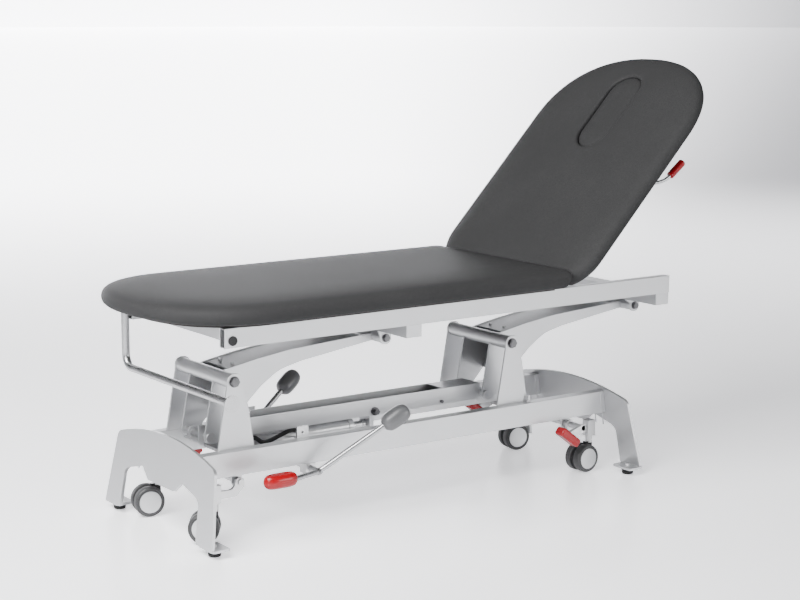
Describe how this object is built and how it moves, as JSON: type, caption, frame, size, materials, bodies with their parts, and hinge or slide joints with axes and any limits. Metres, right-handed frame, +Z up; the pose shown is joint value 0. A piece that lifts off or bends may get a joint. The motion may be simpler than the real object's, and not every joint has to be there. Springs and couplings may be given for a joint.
{
  "type": "examination table",
  "caption": "Height-adjustable examination table on a pale grey steel base with cranked lifting arms, foot pedals and casters, with a dark grey padded top and a raised backrest with a face plug.",
  "frame": {"origin": "floor level, under the middle of the table's length and width", "axes": "+X runs from the foot end to the head end, where the backrest is, +Y is away from the side with the foot pedals, +Z is up"},
  "size_m": [1.6788, 0.62, 1.1035],
  "materials": {
    "frame_coat": "satin silver-grey powder coat",
    "bright_metal": "polished",
    "zinc_plate": "zinc plated, lightly brushed",
    "dark_vinyl": "smooth dark grey synthetic leather",
    "red_plastic": "glossy red",
    "knob_grey": "soft grey",
    "black_plastic": "dark moulded plastic",
    "black_rubber": "plain black",
    "wheel_grey": "grey tread with silver covers"
  },
  "bodies": {
    "base": {"arch_foot": "frame_coat", "arch_head": "frame_coat", "rail_near": "frame_coat", "rail_far": "frame_coat", "upright_foot_near": "frame_coat", "upright_foot_far": "frame_coat", "upright_head_near": "frame_coat", "upright_head_far": "frame_coat", "pivot_bolts": "zinc_plate", "rail_stud": "zinc_plate", "rubber_feet": "black_rubber", "foot_screws": "zinc_plate", "pump_body": "zinc_plate", "pump_brackets": "zinc_plate", "pump_hose": "black_rubber", "jack_barrel": "frame_coat"},
    "jack_ram": {"jack_rod": "bright_metal"},
    "foot_arm": {"foot_arm": "frame_coat", "foot_arm_cover": "zinc_plate", "foot_arm_hub": "bright_metal", "foot_arm_pin": "zinc_plate"},
    "head_arm": {"head_arm": "frame_coat", "head_arm_cover": "zinc_plate", "head_arm_hub": "bright_metal", "head_arm_pin": "zinc_plate"},
    "drive_bar": {"drive_bar": "frame_coat"},
    "top_frame": {"top_rail_near": "frame_coat", "top_rail_far": "frame_coat", "cross_tube_foot": "frame_coat", "cross_tube_head": "frame_coat", "end_cross_tube": "frame_coat", "spring_cross_tube": "frame_coat", "upper_bolts": "zinc_plate", "rail_plugs": "black_plastic", "roll_bar": "bright_metal", "leg_cushion": "dark_vinyl", "back_hinges": "zinc_plate"},
    "backrest": {"back_cushion": "dark_vinyl", "back_frame": "frame_coat"},
    "face_plug": {"face_plug": "dark_vinyl"},
    "gas_barrel": {"gas_barrel": "black_plastic"},
    "gas_rod": {"gas_rod": "bright_metal"},
    "release_lever": {"release_rod": "bright_metal", "release_grip": "red_plastic"},
    "pump_pedal": {"pedal_shaft": "bright_metal", "pedal_knobs": "knob_grey", "pedal_pad": "red_plastic"},
    "foot_carriage": {"carriage_foot": "zinc_plate", "carriage_pedal_foot": "red_plastic"},
    "head_carriage": {"carriage_head": "zinc_plate", "carriage_pedals_head": "red_plastic"},
    "caster_foot_near": {"caster_foot_near": "black_plastic"},
    "wheels_foot_near": {"wheels_foot_near": "wheel_grey"},
    "caster_foot_far": {"caster_foot_far": "black_plastic"},
    "wheels_foot_far": {"wheels_foot_far": "wheel_grey"},
    "caster_head_near": {"caster_head_near": "black_plastic"},
    "wheels_head_near": {"wheels_head_near": "wheel_grey"},
    "caster_head_far": {"caster_head_far": "black_plastic"},
    "wheels_head_far": {"wheels_head_far": "wheel_grey"}
  },
  "joints": [
    {"name": "foot_arm_swing", "type": "hinge", "parent": "base", "child": "foot_arm", "pos_m": [-0.61342, 0, 0.377], "axis": [0, -1, 0], "range_deg": [0, 50]},
    {"name": "head_arm_swing", "type": "hinge", "parent": "base", "child": "head_arm", "pos_m": [0.22658, 0, 0.377], "axis": [0, -1, 0], "range_deg": [0, 50]},
    {"name": "frame_level", "type": "hinge", "parent": "foot_arm", "child": "top_frame", "pos_m": [-0.15742, 0, 0.429], "axis": [0, -1, 0], "range_deg": [-50, 0]},
    {"name": "bar_level", "type": "hinge", "parent": "foot_arm", "child": "drive_bar", "pos_m": [-0.64242, 0, 0.2305], "axis": [0, -1, 0], "range_deg": [-50, 0]},
    {"name": "ram_slide", "type": "slide", "parent": "base", "child": "jack_ram", "axis": [1, 0, 0], "range_m": [0, 0.12259]},
    {"name": "backrest_tilt", "type": "hinge", "parent": "top_frame", "child": "backrest", "pos_m": [0.33958, 0, 0.52], "axis": [0, -1, 0], "range_deg": [-46.3, 18.5]},
    {"name": "face_plug_lift", "type": "slide", "parent": "backrest", "child": "face_plug", "axis": [-0.723, 0, 0.6909], "range_m": [0, 0.09]},
    {"name": "gas_barrel_tilt", "type": "hinge", "parent": "top_frame", "child": "gas_barrel", "pos_m": [0.33958, 0, 0.462], "axis": [0, -1, 0], "range_deg": [-42.1, 16.85]},
    {"name": "gas_rod_tilt", "type": "hinge", "parent": "backrest", "child": "gas_rod", "pos_m": [0.5842, 0, 0.74269], "axis": [0, -1, 0], "range_deg": [-1.72, 4.28]},
    {"name": "release_squeeze", "type": "hinge", "parent": "backrest", "child": "release_lever", "pos_m": [0.59593, -0.21, 0.78681], "axis": [0, -1, 0], "range_deg": [0, 12], "stiffness_Nm_per_rad": 12, "springref_deg": -5.73},
    {"name": "pedal_rock", "type": "hinge", "parent": "base", "child": "pump_pedal", "pos_m": [-0.41542, 0, 0.141], "axis": [0, 1, 0], "range_deg": [-12, 12], "stiffness_Nm_per_rad": 200},
    {"name": "foot_carriage_lift", "type": "hinge", "parent": "base", "child": "foot_carriage", "pos_m": [-0.61042, 0, 0.136], "axis": [0, 1, 0], "range_deg": [0, 5]},
    {"name": "head_carriage_lift", "type": "hinge", "parent": "base", "child": "head_carriage", "pos_m": [0.41558, 0, 0.136], "axis": [0, -1, 0], "range_deg": [0, 5]},
    {"name": "swivel_foot_near", "type": "hinge", "parent": "foot_carriage", "child": "caster_foot_near", "pos_m": [-0.68042, -0.146, 0.076], "axis": [0, 0, 1], "continuous": true},
    {"name": "spin_foot_near", "type": "hinge", "parent": "caster_foot_near", "child": "wheels_foot_near", "pos_m": [-0.70107, -0.13191, 0.038], "axis": [-0.5635, -0.8261, 0], "continuous": true},
    {"name": "swivel_foot_far", "type": "hinge", "parent": "foot_carriage", "child": "caster_foot_far", "pos_m": [-0.68042, 0.146, 0.076], "axis": [0, 0, 1], "continuous": true},
    {"name": "spin_foot_far", "type": "hinge", "parent": "caster_foot_far", "child": "wheels_foot_far", "pos_m": [-0.70485, 0.15133, 0.038], "axis": [-0.213, -0.977, 0], "continuous": true},
    {"name": "swivel_head_near", "type": "hinge", "parent": "head_carriage", "child": "caster_head_near", "pos_m": [0.48558, -0.146, 0.076], "axis": [0, 0, 1], "continuous": true},
    {"name": "spin_head_near", "type": "hinge", "parent": "caster_head_near", "child": "wheels_head_near", "pos_m": [0.4606, -0.14709, 0.038], "axis": [0.0436, -0.999, 0], "continuous": true},
    {"name": "swivel_head_far", "type": "hinge", "parent": "head_carriage", "child": "caster_head_far", "pos_m": [0.48558, 0.146, 0.076], "axis": [0, 0, 1], "continuous": true},
    {"name": "spin_head_far", "type": "hinge", "parent": "caster_head_far", "child": "wheels_head_far", "pos_m": [0.46096, 0.15034, 0.038], "axis": [-0.1736, -0.9848, 0], "continuous": true}
  ],
  "couplings": [
    {"joint": "head_arm_swing", "follows": "foot_arm_swing", "ratio": 1},
    {"joint": "frame_level", "follows": "foot_arm_swing", "ratio": -1},
    {"joint": "bar_level", "follows": "foot_arm_swing", "ratio": -1},
    {"joint": "ram_slide", "follows": "foot_arm_swing", "m_per_rad": 0.14047},
    {"joint": "gas_barrel_tilt", "follows": "backrest_tilt", "ratio": 0.908},
    {"joint": "gas_rod_tilt", "follows": "backrest_tilt", "ratio": -0.092}
  ]
}
